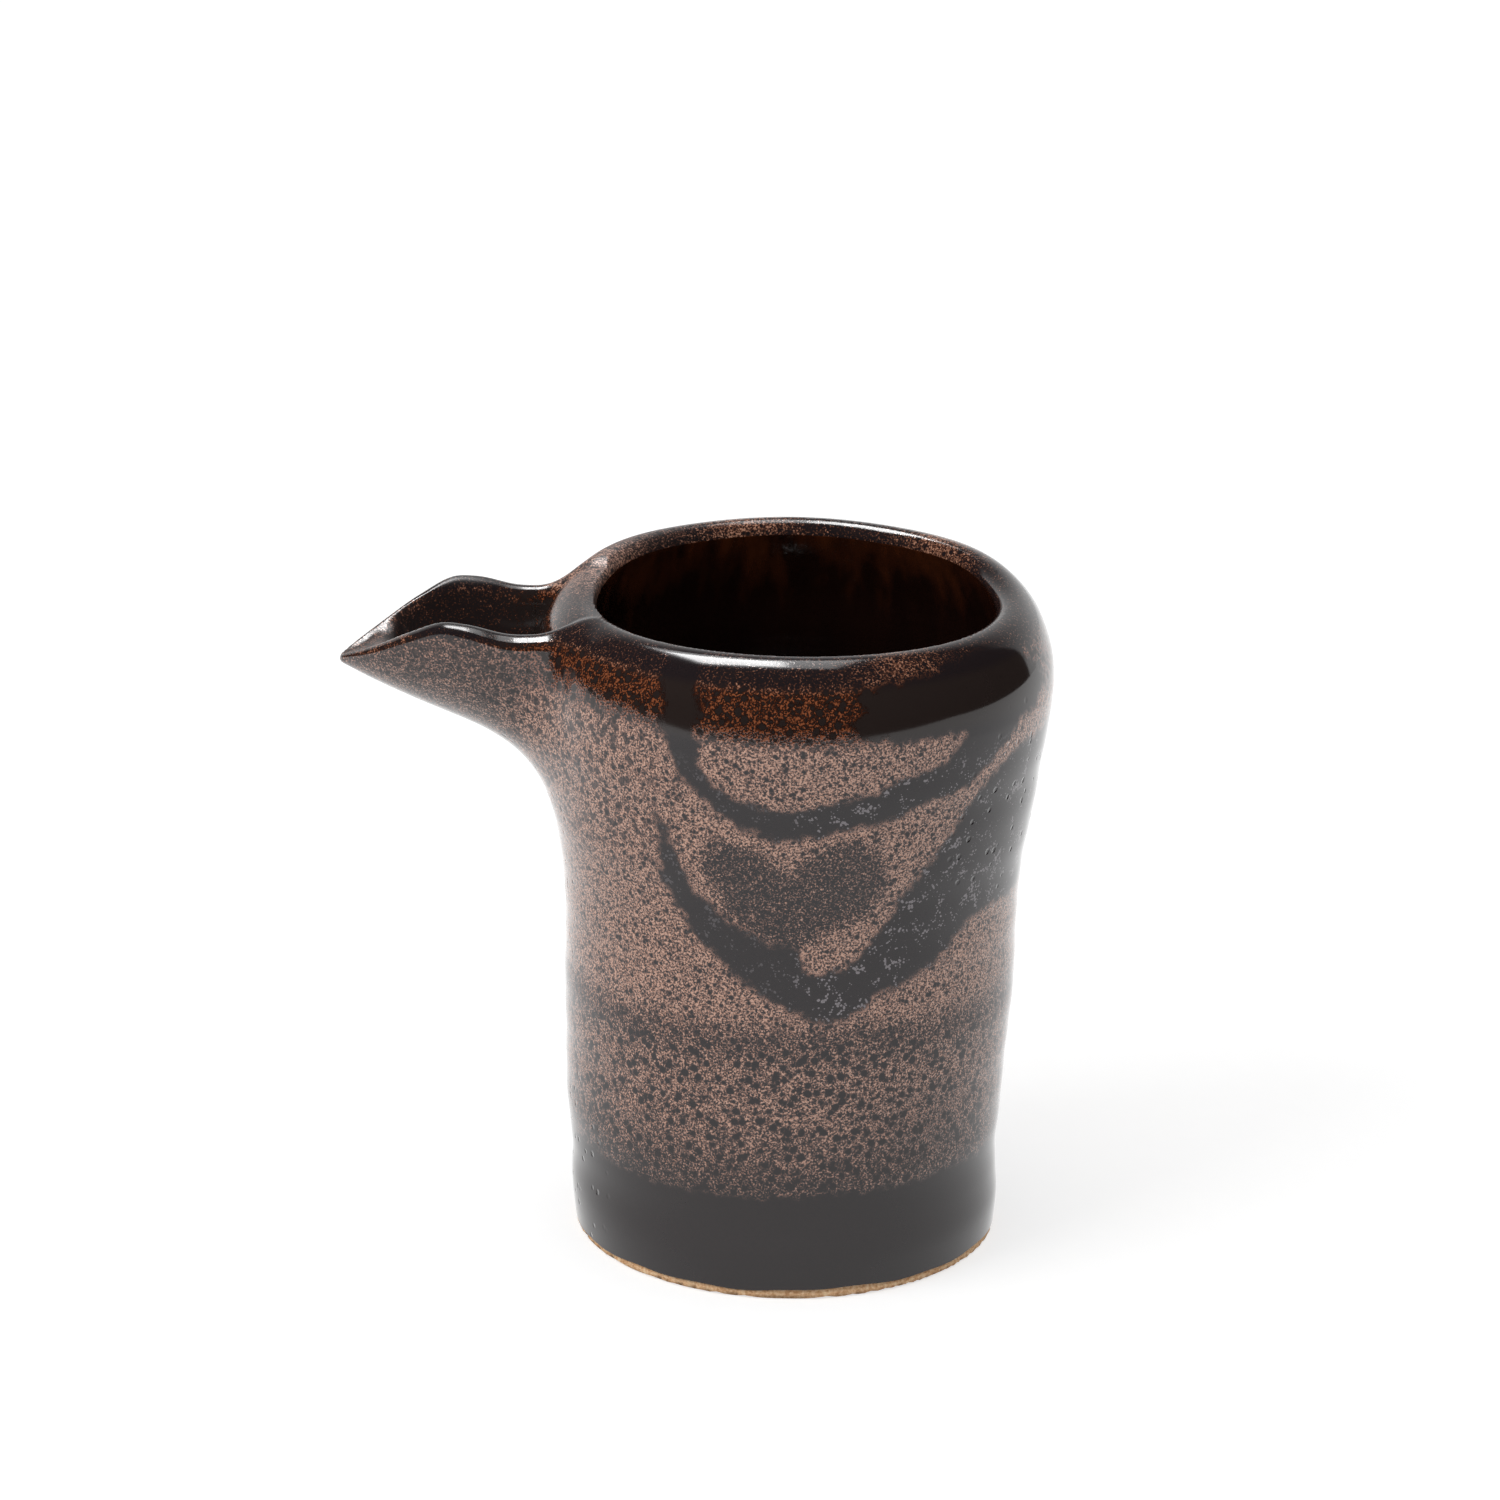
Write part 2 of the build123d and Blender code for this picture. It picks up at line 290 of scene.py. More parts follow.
def pot(x, y, z):
    """Distance to the glazed surface of the whole server, below 0 inside it."""
    radius, height = thrown_place(x, y, z)
    outside = cup_outside(radius, height)
    form = outside.copy()
    near = np.flatnonzero((x < -16) & (z > 40))  # only here does the trough matter
    xs, ys, zs, cup = x[near], y[near], z[near], outside[near]
    solid, channel = trough(xs, ys, zs)
    fillet = 10 - 6 * smooth_step(zs, 82, 100)
    joined = blend_in(cup, solid, fillet)
    channel = cut_away(channel, cup, 1.5)
    joined = cut_away(joined, channel, inner_round_at(tip_reach + xs))
    bore = oval(ys, zs - hole_height, hole_half_width, hole_half_height)
    hole = np.maximum(bore, np.abs(xs - hole_place) - hole_reach)
    form[near] = cut_away(joined, hole, 1.0)
    return np.maximum(form, -cup_hollow(radius, height))


def clay(x, y, z):
    """Distance to the clay under the glaze, with the spiral that the cutting string left."""
    x_off = x - 5
    y_off = y - 3
    pitch = 3.1
    depth = 0.28
    spiral = np.sin(2 * np.pi * np.hypot(x_off, y_off) / pitch - np.arctan2(y_off, x_off))
    groove = depth / 2 * (1 + spiral) * (1 - smooth_step(np.hypot(x, y), 27, 32))
    body = pot(x, y, z) + 0.1 + coat * smooth_step(z, bare_foot - 0.3, bare_foot + 0.5)
    return np.maximum(body, groove - z)


def distance_at(form, points):
    """Distance from each point to a form's surface."""
    return form(points[:, 0], points[:, 1], points[:, 2])


def slope_of(form, points, reach=0.03):
    """Direction and steepness in which a form's distance grows."""
    slopes = np.empty_like(points)
    for axis in range(3):
        nudge = np.zeros(3)
        nudge[axis] = reach
        gain = distance_at(form, points + nudge) - distance_at(form, points - nudge)
        slopes[:, axis] = gain / (2 * reach)
    return slopes


def settle(points, form, rounds=4, longest=0.4):
    """Moves points onto a form's surface, and gives the surface's normals there."""
    for _ in range(rounds):
        slopes = slope_of(form, points)
        step = distance_at(form, points) / np.maximum((slopes**2).sum(1), 1e-3)
        points = points - np.clip(step, -longest, longest)[:, None] * slopes
    slopes = slope_of(form, points)
    return points, slopes / np.linalg.norm(slopes, axis=1)[:, None]


def net(form, low, high, step):
    """Triangles over a form's surface, from a grid of cells."""
    axes = [np.arange(a, b + step, step) for a, b in zip(low, high)]
    grid = np.stack(np.meshgrid(*axes, indexing="ij"), -1).reshape(-1, 3)
    radius = np.hypot(grid[:, 0], grid[:, 1])
    past_hollow = (radius > hollow_clear) | (grid[:, 2] < floor_clear)
    within_reach = (radius < cup_clear) | (grid[:, 0] < trough_start)
    close = past_hollow & within_reach
    far_off = 9.0
    value = np.full(len(grid), far_off)
    value[close] = distance_at(form, grid[close])
    value = value.reshape([len(a) for a in axes])
    size = np.array(value.shape) - 1
    total = np.zeros((*size, 3))
    count = np.zeros(size)
    for axis in range(3):
        others = [a for a in range(3) if a != axis]
        near = np.moveaxis(value, axis, 0)[:-1]
        far = np.moveaxis(value, axis, 0)[1:]
        crossed = (near < 0) != (far < 0)
        share = np.where(crossed, near / np.where(crossed, near - far, 1), 0)
        crossed = np.moveaxis(crossed, 0, axis)
        share = np.moveaxis(share, 0, axis)
        for da in (0, 1):
            for db in (0, 1):
                part = [slice(None)] * 3
                part[others[0]] = slice(da, size[others[0]] + da)
                part[others[1]] = slice(db, size[others[1]] + db)
                hit = crossed[tuple(part)]
                place = np.zeros((*size, 3))
                place[..., axis] = share[tuple(part)]
                place[..., others[0]] = da
                place[..., others[1]] = db
                total += place * hit[..., None]
                count += hit
    used = count > 0
    index = np.full(tuple(size), -1)
    index[used] = np.arange(used.sum())
    corner = np.stack(np.nonzero(used), -1)
    points = np.array([a[0] for a in axes]) + step * (corner + total[used] / count[used][:, None])
    faces = []
    for axis in range(3):
        first, second = (axis + 1) % 3, (axis + 2) % 3
        near = np.moveaxis(value, axis, 0)[:-1]
        far = np.moveaxis(value, axis, 0)[1:]
        crossed = np.moveaxis((near < 0) != (far < 0), 0, axis)
        cell = np.stack(np.nonzero(crossed), -1)
        cell = cell[(cell[:, first] > 0) & (cell[:, second] > 0)]
        cell = cell[(cell[:, first] < size[first]) & (cell[:, second] < size[second])]
        rising = value[tuple(cell.T)] < 0
        ring = []
        for a, b in ((1, 1), (0, 1), (0, 0), (1, 0)):
            at = cell.copy()
            at[:, first] -= a
            at[:, second] -= b
            ring.append(index[tuple(at.T)])
        ring = np.stack(ring, -1)
        ring = np.where(rising[:, None], ring, ring[:, ::-1])
        faces += [ring[:, [0, 1, 2]], ring[:, [0, 2, 3]]]
    return points, np.concatenate(faces)


def cut(points, faces, field, snap=0.06):
    """The side of a mesh where a field is above 0, with the faces on the line split."""
    side = field(points)
    side[np.abs(side) < snap] = 0
    pairs = np.sort(np.concatenate([faces[:, [0, 1]], faces[:, [1, 2]], faces[:, [2, 0]]]), 1)
    pairs = np.unique(pairs[side[pairs[:, 0]] * side[pairs[:, 1]] < 0], axis=0)
    share = side[pairs[:, 0]] / (side[pairs[:, 0]] - side[pairs[:, 1]])
    fresh = points[pairs[:, 0]] + share[:, None] * (points[pairs[:, 1]] - points[pairs[:, 0]])
    key = pairs[:, 0] * len(points) + pairs[:, 1]

    def between(a, b):
        find = np.minimum(a, b) * len(points) + np.maximum(a, b)
        return len(points) + np.searchsorted(key, find)

    over = side > 0
    under = side < 0
    kept = [faces[~under[faces].any(1) & over[faces].any(1)]]
    for turn in range(3):
        a, b, c = np.roll(faces, -turn, 1).T
        tip = over[a] & under[b] & under[c]
        kept.append(np.stack([a, between(a, b), between(a, c)], -1)[tip])
        half = over[a] & under[b] & (side[c] == 0)
        kept.append(np.stack([a, between(a, b), c], -1)[half])
        half = over[a] & under[c] & (side[b] == 0)
        kept.append(np.stack([a, b, between(a, c)], -1)[half])
        base = under[a] & over[b] & over[c]
        kept.append(np.stack([between(a, b), b, c], -1)[base])
        kept.append(np.stack([between(a, b), c, between(a, c)], -1)[base])
    points = np.concatenate([points, fresh])
    faces = np.concatenate(kept)
    used, faces = np.unique(faces, return_inverse=True)
    return points[used], faces.reshape(-1, 3)


def skin(points, normals, faces, thickness):
    """A closed skin: the surface, a copy of it further in, and walls along its borders."""
    count = len(points)
    edges = np.concatenate([faces[:, [0, 1]], faces[:, [1, 2]], faces[:, [2, 0]]])
    forward = edges[:, 0] * count + edges[:, 1]
    back = edges[:, 1] * count + edges[:, 0]
    a, b = edges[~np.isin(forward, back)].T
    walls = [np.stack([b, a, a + count], -1), np.stack([b, a + count, b + count], -1)]
    inner = points - normals * thickness
    return (
        np.concatenate([points, inner]),
        np.concatenate([normals, -normals]),
        np.concatenate([faces, faces[:, ::-1] + count, *walls]),
    )


def make_piece(name, points, normals, faces, fields, material):
    """A mesh object in metres with its own normals and its painted fields."""
    mesh = bpy.data.meshes.new(name)
    mesh.from_pydata((points * MM).tolist(), [], faces.tolist())
    mesh.polygons.foreach_set("use_smooth", np.ones(len(faces), bool))
    for field, values in fields.items():
        layer = mesh.attributes.new(field, "FLOAT", "POINT")
        layer.data.foreach_set("value", np.asarray(values, np.float32))
    mesh.update()
    mesh.normals_split_custom_set_from_vertices(normals.tolist())
    mesh.materials.append(material)
    piece = bpy.data.objects.new(name, mesh)
    bpy.context.scene.collection.objects.link(piece)
    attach(piece, "root")
    return piece


# ---- Where one coat ends and the next begins: fields that are above 0 on one side ----
def bearing_of(points):
    """Degrees round the cup from its front, more to the right."""
    return np.degrees(np.arctan2(points[:, 0], -points[:, 1]))


def outer_side(points):
    """Above 0 on the outside of the cup and over its lip, down to the turn of the mouth."""
    radius, height = thrown_place(*points.T)
    lip = np.maximum(radius - crest_radius, 1.5 * (height - turn_height))
    return np.where(height > turn_height - 0.8, lip, cup_outside(radius, height) + 2)


def over_lip(points):
    """Above 0 in the part of the lip that has the finer mesh."""
    return points[:, 2] - fine_lip_height


def beyond_cut(points):
    """Above 0 on the trough's side of the plane where its own coat begins."""
    return np.where(points[:, 2] > 60, -points[:, 0] - cut_plane, -10)


def over_foot(points):
    """Above 0 over the uneven line where the glaze was wiped from the foot."""
    turn = np.radians(bearing_of(points))
    wander = 0.25 * np.sin(2 * turn + 1) + 0.14 * np.sin(7 * turn) + 0.10 * np.sin(17 * turn + 2)
    return np.where(points[:, 2] < 10, points[:, 2] - (bare_foot + 0.4 + wander), 5)


def other_side(field):
    """The same field turned round: above 0 where it was below."""

    def turned(points):
        return -field(points)

    return turned


# ---- Dark sweeps, as outlines of (bearing in degrees, height) ----
upper_sweep = [
    (-30, 105), (-31.5, 101), (-29, 98), (-29.5, 95), (-27.3, 92.7), (-25.5, 87.4), (-20.4, 84.2),
    (-12.8, 80), (-3.9, 78.1), (4.9, 78.6), (12.5, 79.9), (21.6, 80.7), (31, 83.2), (40.3, 84.3),
    (45, 86.4), (51, 89.4), (60, 94), (40, 95), (38.7, 92.1), (33.2, 88.1), (26.2, 87), (17.1, 84.9),
    (7.2, 83.4), (1, 82.5), (-7.7, 82.3), (-17.7, 85.4), (-21.5, 88.8), (-21.8, 92.4), (-23.4, 95.6),
    (-21.2, 98.2), (-24, 101), (-25, 105),
]
lower_sweep = [
    (-31.4, 79), (-31, 68.5), (-24, 60.6), (-13.5, 54.8), (-3.5, 50.5), (3.5, 48.2), (12, 47.6),
    (20.8, 50.8), (30, 52.8), (38.5, 55.5), (47.7, 59.9), (57, 61.5), (71.5, 61), (90, 62),
    (120, 66), (140, 74), (134, 79), (115, 85), (90, 89), (70, 87.5), (57, 87.1), (47.6, 84.1),
    (41.7, 79.3), (34.8, 72.6), (28, 67.5), (20.2, 59.5), (13.2, 55.2), (7, 54.4), (2.5, 55.2),
    (0.5, 58.8), (-8, 60.2), (-16, 63), (-24.5, 68), (-29, 75),
]
shoulder_patch = [
    (15, 94.2), (11.8, 96.4), (15.5, 98), (13.5, 100.2), (22, 101.2), (34, 102), (50, 103),
    (62, 101.5), (70, 97.5), (66, 93.5), (50, 92), (36, 93.5), (24, 93.6),
]
faint_patch = [
    (-22, 73), (-18, 77), (-8, 76), (-1.3, 72), (5, 76), (12.7, 77.5), (19.6, 75.5), (23, 70),
    (18, 64.4), (8.6, 62), (0.4, 58), (-8, 61), (-16, 64.5),
]


def inside_outline(turn, height, outline):
    """How far inside a painted outline each point lies, in millimetres, below 0 outside it."""
    usual_radius = 38.0
    per_degree = np.radians(usual_radius)
    places = np.stack([turn * per_degree, height], -1)
    return reach_inside(places, np.array(outline, float) * (per_degree, 1))


paint_names = ("dark", "rust", "rust_without_haze", "coarse", "pitted", "satin", "flecked")


def paint_fields(points):
    """The painted fields of the outer glaze: each says where, and how much, of one thing there is."""
    x, y, z = points.T
    turn = bearing_of(points)
    below_edge = edge_at(tip_reach + x) - z
    in_channel = smooth_step(-trough(x, y, z)[1], -0.7, -0.3)
    along_trough = smooth_step(-x, 40, 49)
    on_crown = smooth_step(z, 101, 103)
    # Dark: the band at the foot and the sweeps, in millimetres from their edge
    dark = rust_line + 0.5 * np.sin(np.radians(3 * turn)) + 0.6 * bump_at(turn, 70, 30) - z
    for outline in (upper_sweep, lower_sweep, shoulder_patch):
        dark = np.maximum(dark, inside_outline(turn, z, outline))
    # Rust: thinner in the faint patch, near its lower edge and in a ring under the waist
    rust = 1 - 0.44 * smooth_step(inside_outline(turn, z, faint_patch), -1.5, 2)
    rust *= 0.72 + 0.28 * smooth_step(z, rust_line, rust_line + 12)
    rust *= 1 - 0.18 * bump_at(z, 43.5, 3.0) - 0.1 * smooth_step(-z, -47, -43)
    # It ran off the lip, save for four tan patches, and off the trough's rim; there is less of it deep
    # in the trough's channel
    patches = bump_at(turn % 360, 195, 16) + bump_at(turn, 134, 16) + 0.7 * bump_at(turn, 26, 12)
    patches += 1.1 * bump_at(turn, -112, 24)
    rust *= 1 - smooth_step(z, 100.4, 102.6) * np.clip(0.62 - 0.6 * patches, 0, 1)
    rust *= 1 - 0.5 * in_channel * smooth_step(below_edge, 1.5, 3) * (x < -38)
    trough_rim = smooth_step(-below_edge, -2.2, -1.4)
    trough_rim *= smooth_step(-x, 39, 42) * smooth_step(x, -61, -57)
    rust *= (1 - 0.2 * along_trough) * (1 - 0.5 * trough_rim)
    # Saturated rust: the orange of the shoulder, of the trough's root and of the lowest third; under
    # the shoulder the paler colours partly paint the white floor's reflection
    root = bump_at(x, -44, 5) * bump_at(z, 96, 5)
    # The step at about 94 mm is painted: it is where the white floor's reflection ends on the glaze,
    # and the paler colours under it stand partly for that reflection
    rust_without_haze = np.maximum(smooth_step(z + 0.8 * bump_at(turn, 5, 20), 93, 94.6), root)
    rust_without_haze *= (1 - 0.5 * along_trough) * (1 - 0.8 * smooth_step(z, 100.5, 102))
    low_orange = 0.35 * smooth_step(-z, -34, -24) + 0.5 * bump_at(turn, 38, 14) * bump_at(z, 28, 6)
    rust_without_haze = np.maximum(rust_without_haze, low_orange)
    # Coarse: where the dark dots are big
    coarse = np.maximum(smooth_step(-z, -48, -42), smooth_step(z, 91, 95))
    coarse = np.maximum(coarse, 0.7 * smooth_step(-turn, 22, 40) * smooth_step(z, 62, 78))
    coarse *= (1 - 0.7 * on_crown) * (1 - 0.5 * along_trough)
    # Pitted: three places on the wall
    pitted = bump_at(turn, 58, 16) * bump_at(z, 76, 11) + bump_at(turn, -82, 12) * bump_at(z, 62, 14)
    pitted += bump_at(turn, -72, 10) * bump_at(z, 14, 10)
    # Satin: the lip beside the trough, and the trough's tip
    satin = on_crown * (0.15 + 1.4 * bump_at(turn, -115, 34))
    satin = np.maximum(satin, 0.8 * smooth_step(-x, 57, 61) * in_channel)
    # Flecked: the sweeps, more on their right half
    flecked = smooth_step(z, 44, 48) * (0.3 + 0.7 * smooth_step(turn, -6, 8))
    flecked *= smooth_step(-z, -92, -86)
    return dict(zip(paint_names, (dark, rust, rust_without_haze, coarse, pitted, satin, flecked)))


# ---- Materials ----
def linear(colour):
    """sRGB hex colour as linear red, green, blue and full alpha."""
    parts = [int(colour[i : i + 2], 16) / 255 for i in (1, 3, 5)]
    return [c / 12.92 if c <= 0.04045 else ((c + 0.055) / 1.055) ** 2.4 for c in parts] + [1.0]


def add(tree, kind, links=None, stops=None, **settings):
    """Adds a node with its settings, its links or values by socket, and its ramp's colours."""
    node = tree.nodes.new(kind)
    for name, value in settings.items():
        setattr(node, name, value)
    for socket, value in (links or {}).items():
        if isinstance(value, bpy.types.NodeSocket):
            tree.links.new(value, node.inputs[socket])
        else:
            node.inputs[socket].default_value = value
    if stops:
        ramp = node.color_ramp
        while len(ramp.elements) > 1:
            ramp.elements.remove(ramp.elements[0])
        ramp.elements[0].position, colour = stops[0]
        ramp.elements[0].color = linear(colour)
        for place, colour in stops[1:]:
            ramp.elements.new(place).color = linear(colour)
    return node


def new_material(name):
    """A material with an empty node tree."""
    material = bpy.data.materials.new(name)
    material.use_nodes = True
    tree = material.node_tree
    tree.nodes.clear()
    return material, tree


def finish_material(tree, colour, bump, roughness, light_bending):
    """The shader and the output at the end of a material."""
    finish = {"Base Color": colour, "Roughness": roughness, "Normal": bump, "IOR": light_bending}
    shader = add(tree, "ShaderNodeBsdfPrincipled", finish)
    add(tree, "ShaderNodeOutputMaterial", {"Surface": shader.outputs[0]})


def reckon(tree, operation, *values, **settings):
    """One step of arithmetic on node values."""
    links = dict(enumerate(values))
    return add(tree, "ShaderNodeMath", links, operation=operation, **settings).outputs[0]


def spread(tree, value, low, high, start=0.0, end=1.0):
    """Spreads the part of a value from low to high over start to end."""
    return add(tree, "ShaderNodeMapRange", {0: value, 1: low, 2: high, 3: start, 4: end}).outputs[0]


def shades(tree, value, *stops):
    """A colour picked by a value from a row of colours."""
    return add(tree, "ShaderNodeValToRGB", {0: value}, stops).outputs[0]


def place_in_mm(tree):
    """The place on the object, in millimetres."""
    where = add(tree, "ShaderNodeTexCoord").outputs["Object"]
    links = {0: where, 1: (1 / MM,) * 3}
    return add(tree, "ShaderNodeVectorMath", links, operation="MULTIPLY").outputs[0]


def clouds(tree, place, size, detail, roughness=0.5):
    """Soft noise whose lumps are about a size in millimetres."""
    links = {"Vector": place, "Scale": 1 / size, "Detail": detail, "Roughness": roughness}
    return add(tree, "ShaderNodeTexNoise", links).outputs


def spots(tree, place, size):
    """Distance to the nearest of the points strewn about a size in millimetres apart."""
    return add(tree, "ShaderNodeTexVoronoi", {"Vector": place, "Scale": 1 / size}).outputs["Distance"]


def surface_bump(tree, height, strength, depth):
    """Small relief from a height value, its depth in metres."""
    links = {"Height": height, "Strength": strength, "Distance": depth}
    return add(tree, "ShaderNodeBump", links).outputs[0]


def rust_over_black():
    """Iron glaze, rust over black, fired glossy: grains of rust, dark dots and dark sweeps."""
    material, tree = new_material("outer_iron_glaze_rust_over_black")
    mm = place_in_mm(tree)
    paint = {
        field: add(tree, "ShaderNodeAttribute", attribute_name=field).outputs["Fac"]
        for field in paint_names
    }
    grain = clouds(tree, mm, 0.3, 1.5, 0.6)[0]
    bend = clouds(tree, mm, 1.1, 2.0)["Color"]
    links = {0: bend, 1: (0.45,) * 3, 2: mm}
    bent = add(tree, "ShaderNodeVectorMath", links, operation="MULTIPLY_ADD").outputs[0]
    mottle = clouds(tree, mm, 2.4, 3.0, 0.6)[0]
    # Dark dots: fine ones everywhere, big ones where the glaze ran thin
    fine = reckon(tree, "MULTIPLY_ADD", mottle, -0.45, spots(tree, bent, 1.25))
    fine = spread(tree, fine, -0.06, 0.14)
    big = reckon(tree, "MULTIPLY_ADD", mottle, -0.24, spots(tree, bent, 1.8))
    big = spread(tree, big, 0.15, 0.29, -1.0, 0.0)
    big = reckon(tree, "MULTIPLY_ADD", big, paint["coarse"], 1.0)
    dots = reckon(tree, "MULTIPLY", fine, big)
    # Ragged edge of the dark sweeps
    ragged = reckon(tree, "MULTIPLY_ADD", mottle, 3.6, paint["dark"])
    ragged = reckon(tree, "MULTIPLY_ADD", grain, 3.6, ragged)
    clear = spread(tree, ragged, 3.1, 3.7, 1.0, 0.0)
    # Rust grains
    grains = reckon(tree, "MULTIPLY_ADD", paint["rust"], 0.3, grain)
    grains = spread(tree, grains, 0.66, 0.93)
    grains = reckon(tree, "MULTIPLY", grains, dots)
    cover = reckon(tree, "MULTIPLY", grains, clear)
    cover = reckon(tree, "MULTIPLY_ADD", grain, 0.07, cover)
    # The pale colours are partly a painted reflection of the white floor, used under the shoulder; the
    # rusty ones are the saturated rust above it
    pale_and_painted_haze = shades(tree, cover, (0, "#15151a"), (0.3, "#452b22"), (0.6, "#7e5340"), (1, "#c3937a"))
    rust_without_haze = shades(tree, cover, (0, "#28211f"), (0.3, "#21120e"), (0.6, "#452214"), (1, "#8c5032"))
    links = {0: paint["rust_without_haze"], 6: pale_and_painted_haze, 7: rust_without_haze}
    colour = add(tree, "ShaderNodeMix", links, data_type="RGBA").outputs[2]
    # Pale flecks floating in the dark sweeps
    fleck = reckon(tree, "MULTIPLY_ADD", mottle, -2.4, spots(tree, mm, 0.5))
    fleck = spread(tree, fleck, -1.12, -1.0, 0.8, 0.0)
    fleck = reckon(tree, "MULTIPLY", fleck, paint["flecked"])
    fleck = reckon(tree, "SUBTRACT", fleck, clear, use_clamp=True)
    links = {0: fleck, 6: colour, 7: linear("#8d878b")}
    colour = add(tree, "ShaderNodeMix", links, data_type="RGBA").outputs[2]
    # Shallow pits where bubbles burst
    pit = spread(tree, spots(tree, mm, 2.6), 0.1, 0.22, -0.8, 0.0)
    pit = reckon(tree, "MULTIPLY", pit, paint["pitted"])
    lump = reckon(tree, "MULTIPLY_ADD", cover, 0.012, pit)
    bump = surface_bump(tree, lump, 0.6, MM)
    # Gloss: rust bends light more than black does, and satin places are rougher
    rough = spread(tree, cover, 0.0, 0.7, 0.08, 0.09)
    rough = reckon(tree, "MULTIPLY_ADD", paint["satin"], 0.26, rough)
    light_bending = spread(tree, cover, 0.0, 0.8, 1.42, 1.76)
    finish_material(tree, colour, bump, rough, light_bending)
    return material


def poured_liner():
    """The black iron glaze poured inside: glossy, with rust where it thins under the lip."""
    material, tree = new_material("liner_iron_glaze_glossy")
    mm = place_in_mm(tree)
    height = add(tree, "ShaderNodeSeparateXYZ", {0: mm}).outputs["Z"]
    links = {0: mm, 1: (1.0, 1.0, 0.25)}
    streak = add(tree, "ShaderNodeVectorMath", links, operation="MULTIPLY").outputs[0]
    run = clouds(tree, streak, 3.5, 4.0)[0]
    thin = reckon(tree, "MULTIPLY", run, spread(tree, height, 78.0, 104.0))
    colour = shades(tree, thin, (0.0, "#0d0706"), (0.35, "#190c08"), (0.7, "#43200f"))
    finish_material(tree, colour, surface_bump(tree, run, 0.15, MM), 0.1, 1.52)
    return material


def bare_stoneware():
    """Bare stoneware clay, fired matt: warm tan with fine grog."""
    material, tree = new_material("bare_stoneware_fired_matt")
    grog = clouds(tree, place_in_mm(tree), 0.5, 3.0)[0]
    colour = shades(tree, grog, (0.3, "#bd8a60"), (0.5, "#dcb288"), (0.7, "#edcfa9"))
    finish_material(tree, colour, surface_bump(tree, grog, 0.4, 0.2 * MM), 0.85, 1.5)
    return material


# ---- The pieces ----
outer_glaze = rust_over_black()
liner_glaze = poured_liner()
bare_clay = bare_stoneware()


def smooth_net(form, low, high, cell):
    """A form's surface inside a box, as points that lie on it and triangles."""
    points, faces = net(form, np.array(low), np.array(high), cell)
    return settle(points, form)[0], faces


def coat_piece(name, parts, thickness, material):
    """A coat of glaze from parts of the surface, each a mesh and the fields that cut it."""
    shells = []
    for points, faces, cuts in parts:
        for field in cuts:
            points, faces = cut(points, faces, field)
        points, normals = settle(points, pot, rounds=2)
        shells.append(skin(points, normals, faces, thickness))
    starts = np.cumsum([0] + [len(shell[0]) for shell in shells])
    points = np.concatenate([shell[0] for shell in shells])
    normals = np.concatenate([shell[1] for shell in shells])
    faces = np.concatenate([shell[2] + start for shell, start in zip(shells, starts)])
    return make_piece(name, points, normals, faces, paint_fields(points), material)


top_corner = [43.0, 43.0, 110.2]
cup_net = smooth_net(pot, [-42.9, -43.0, -1.6], top_corner, cup_cell)
lip_net = smooth_net(pot, [-42.9, -43.0, 98.0], top_corner, lip_cell)
under_lip = other_side(over_lip)
inner_side = other_side(outer_side)
before_cut = other_side(beyond_cut)

cup_parts = [
    (*cup_net, [under_lip, outer_side, before_cut, over_foot]),
    (*lip_net, [over_lip, outer_side, before_cut]),
]
cup_coat = coat_piece("cup_outer_glaze", cup_parts, coat, outer_glaze)
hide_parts("outer_base_glaze", "rust_overglaze", "upper_glaze_sweep", "lower_glaze_sweep")

liner_parts = [
    (*cup_net, [under_lip, inner_side]),
    (*lip_net, [over_lip, inner_side]),
]
liner_coat = coat_piece("cup_liner_glaze", liner_parts, coat, liner_glaze)
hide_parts("liner_glaze")

spout_net = smooth_net(pot, [-74.0, -18.5, 70.0], [-39.0, 18.5, 107.0], trough_cell)
spout_parts = [(*spout_net, [beyond_cut])]
spout_coat = coat_piece("spout_glaze_coat", spout_parts, trough_coat, outer_glaze)
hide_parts("spout_glaze")

clay_points, clay_faces = net(clay, np.array([-74.0, -42.9, -1.5]), np.array(top_corner), clay_cell)
clay_points, clay_normals = settle(clay_points, clay)
clay_body = make_piece("stoneware_clay", clay_points, clay_normals, clay_faces, {}, bare_clay)
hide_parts("stoneware_body", "stoneware_spout", "spout_luting_coil")


# ---- Studio: white floor, dim room above it, soft lamps, in metres ----
left_edge = -2.2
right_edge = 2.2
front_edge = -0.70
back_edge = 1.6
backdrop_top = 1.9
floor_lift = 0.6
more_in_glaze = 0.28
fill_strength = 0.75


def white_floor():
    """White paper, matt: it shows white to the camera and in the glaze, and keeps the shadow."""
    material, tree = new_material("white_paper_matt")
    path = add(tree, "ShaderNodeLightPath").outputs
    seen = reckon(tree, "ADD", path["Is Camera Ray"], path["Is Glossy Ray"])
    seen = reckon(tree, "ADD", seen, path["Is Transmission Ray"], use_clamp=True)
    lift = reckon(tree, "MULTIPLY", seen, floor_lift)
    lift = reckon(tree, "MULTIPLY_ADD", path["Is Glossy Ray"], more_in_glaze, lift)
    fibre = add(tree, "ShaderNodeTexNoise", {"Scale": 900.0}).outputs[0]
    sheet = shades(tree, fibre, (0.0, "#c2c2c2"), (1.0, "#c8c8c8"))
    diffuse = add(tree, "ShaderNodeBsdfDiffuse", {"Color": sheet}).outputs[0]
    glow = add(tree, "ShaderNodeEmission", {"Strength": lift}).outputs[0]
    both = add(tree, "ShaderNodeAddShader", {0: diffuse, 1: glow}).outputs[0]
    add(tree, "ShaderNodeOutputMaterial", {"Surface": both})
    return material


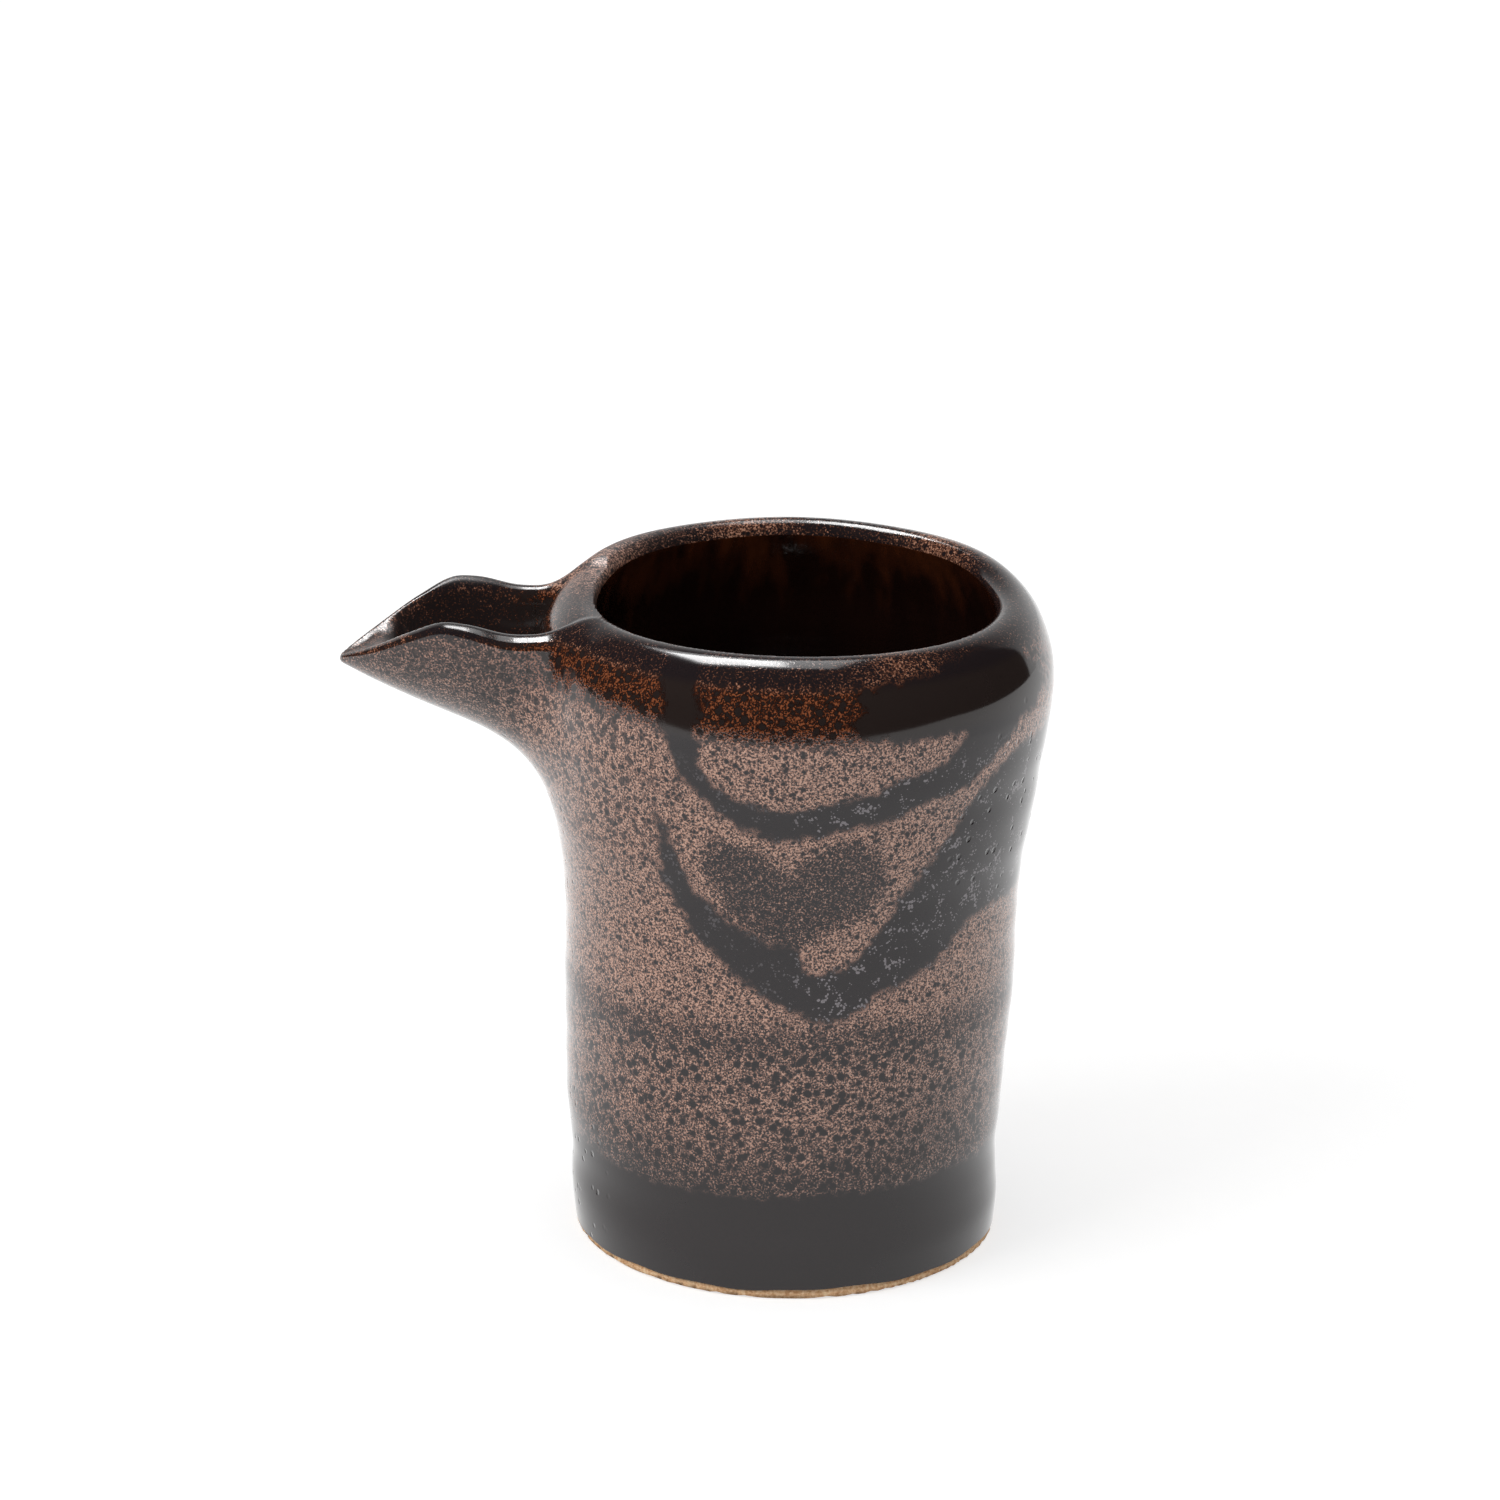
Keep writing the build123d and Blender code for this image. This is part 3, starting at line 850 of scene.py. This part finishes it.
def fading_backdrop():
    """White paper rising behind the floor into the dark of the room, drawn only as painted light: a
    glow that fades with height as painted shade. It shows in the glaze.
    """
    material, tree = new_material("backdrop_paper_painted_fade")
    where = add(tree, "ShaderNodeTexCoord").outputs["Object"]
    height = add(tree, "ShaderNodeSeparateXYZ", {0: where}).outputs["Z"]
    # Painted shade: the glow falls from full at 0.3 m to nearly nothing at the top
    painted_fade = spread(tree, height, 0.3, backdrop_top, 1.0, 0.04)
    glow = add(tree, "ShaderNodeEmission", {"Strength": painted_fade}).outputs[0]
    add(tree, "ShaderNodeOutputMaterial", {"Surface": glow})
    return material


def paper(name, near, far, material):
    """A flat sheet of paper as wide as the studio, its two long edges each at a depth and a height."""
    mesh = bpy.data.meshes.new(name)
    places = [(left_edge, *near), (right_edge, *near), (right_edge, *far), (left_edge, *far)]
    mesh.from_pydata(places, [], [(0, 1, 2, 3)])
    mesh.materials.append(material)
    sheet = bpy.data.objects.new(name, mesh)
    bpy.context.scene.collection.objects.link(sheet)


paper("floor", (front_edge, 0), (back_edge, 0), white_floor())
paper("backdrop", (back_edge, 0), (back_edge, backdrop_top), fading_backdrop())

world = bpy.data.worlds.new("studio")
world.use_nodes = True
bpy.context.scene.world = world
sky = world.node_tree
sky.nodes.clear()
path = add(sky, "ShaderNodeLightPath").outputs
plain_white = linear("#ffffff")
fill = add(sky, "ShaderNodeBackground", {"Color": plain_white, "Strength": fill_strength}).outputs[0]
white = add(sky, "ShaderNodeBackground", {"Color": plain_white, "Strength": 1.0}).outputs[0]
room = add(sky, "ShaderNodeBackground", {"Color": linear("#26221f"), "Strength": 1.0}).outputs[0]
lit = add(sky, "ShaderNodeMixShader", {0: path["Is Glossy Ray"], 1: fill, 2: room}).outputs[0]
seen = reckon(sky, "MAXIMUM", path["Is Camera Ray"], path["Is Transmission Ray"])
shown = add(sky, "ShaderNodeMixShader", {0: seen, 1: lit, 2: white}).outputs[0]
add(sky, "ShaderNodeOutputWorld", {"Surface": shown})


def soft_lamp(name, place, aim, width, depth, watts, mirrored):
    """A soft box that points at a place; a mirrored one shows only in the glaze."""
    lamp = bpy.data.lights.new(name, "AREA")
    lamp.shape = "RECTANGLE"
    lamp.size = width
    lamp.size_y = depth
    lamp.energy = watts
    piece = bpy.data.objects.new(name, lamp)
    bpy.context.scene.collection.objects.link(piece)
    facing = (Vector(aim) - Vector(place)).to_track_quat("-Z", "Y")
    piece.matrix_world = Matrix.Translation(place) @ facing.to_matrix().to_4x4()
    piece.visible_glossy = mirrored
    piece.visible_diffuse = not mirrored


soft_lamp(
    "key_lamp", (-0.92, -0.55, 0.9), (0, 0, 0.06),
    width=0.8, depth=0.8, watts=7.5, mirrored=False,
)
soft_lamp(
    "wide_box", (-0.14, 0.33, 0.95), (-0.14, 0.33, 0),
    width=0.60, depth=0.70, watts=4.8, mirrored=True,
)
soft_lamp(
    "inner_box", (-0.20, 0.26, 0.90), (-0.20, 0.26, 0),
    width=0.34, depth=0.42, watts=8.0, mirrored=True,
)

# ---- Camera ----
elevation = math.radians(18.28)
roll = math.radians(0.884)
distance = 0.7432
aim = Vector((-0.00683, 0, 0.07915))
back = Vector((0, -math.cos(elevation), math.sin(elevation)))
right = Vector((1, 0, 0))
up = back.cross(right)
rolled_right = math.cos(roll) * right + math.sin(roll) * up
rolled_up = math.cos(roll) * up - math.sin(roll) * right
lens = bpy.data.cameras.new("camera")
lens.sensor_width = 36.0
lens.lens = 113.1
camera = bpy.data.objects.new("camera", lens)
bpy.context.scene.collection.objects.link(camera)
facing = Matrix((rolled_right, rolled_up, back)).transposed()
camera.matrix_world = Matrix.Translation(aim + distance * back) @ facing.to_4x4()
bpy.context.scene.camera = camera
bpy.context.scene.view_settings.view_transform = "Standard"
